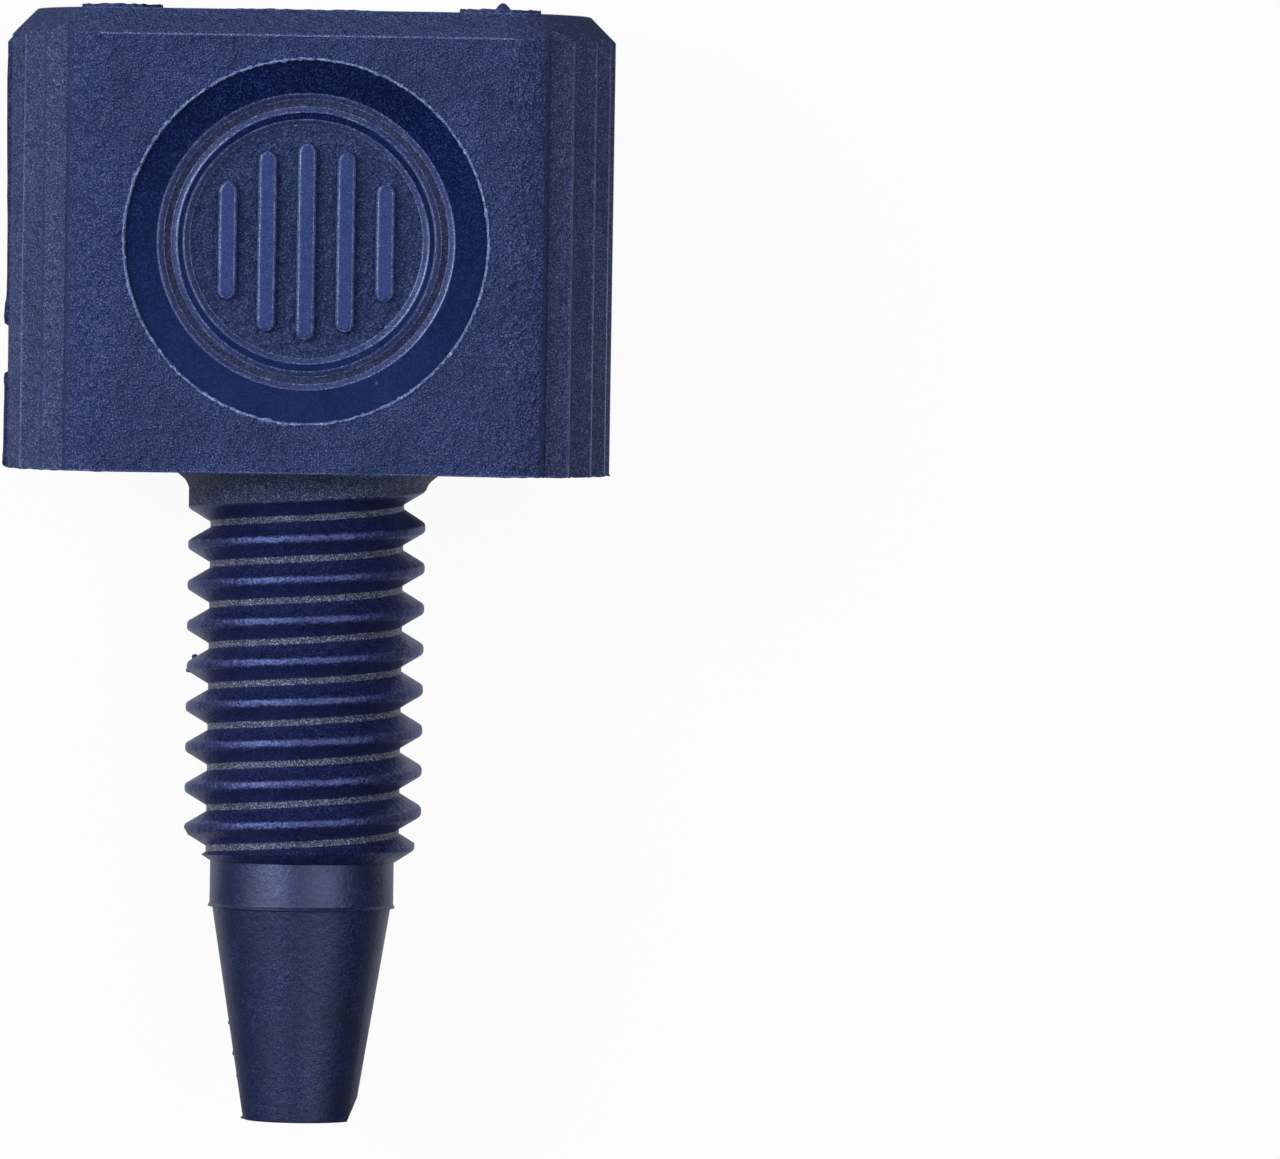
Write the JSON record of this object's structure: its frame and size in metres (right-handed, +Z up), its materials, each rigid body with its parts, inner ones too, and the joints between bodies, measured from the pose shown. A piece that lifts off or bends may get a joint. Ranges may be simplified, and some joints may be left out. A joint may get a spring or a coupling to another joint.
{
  "type": "hplc fingertight fitting",
  "caption": "Moulded finger-tight male fitting for capillary tube: flat-sided toothed head with a deep cup, fine threaded shank and slender sealing cone, bored through for the tube.",
  "frame": {"origin": "bottom centre of the bounding box: on the wide flat that the head lies on, below the bore's axis, midway between the open end of the head and the tip of the cone", "axes": "+Y along the bore towards the open end of the head, +Z up out of the upper wide flat, +X along the toothed width of the head"},
  "size_m": [0.0119, 0.0218, 0.0077],
  "materials": {
    "navy_plastic": "navy blue moulded plastic, spark-eroded matte on the head, satin on the cone"
  },
  "bodies": {
    "root": {"fitting": "navy_plastic"}
  },
  "joints": []
}
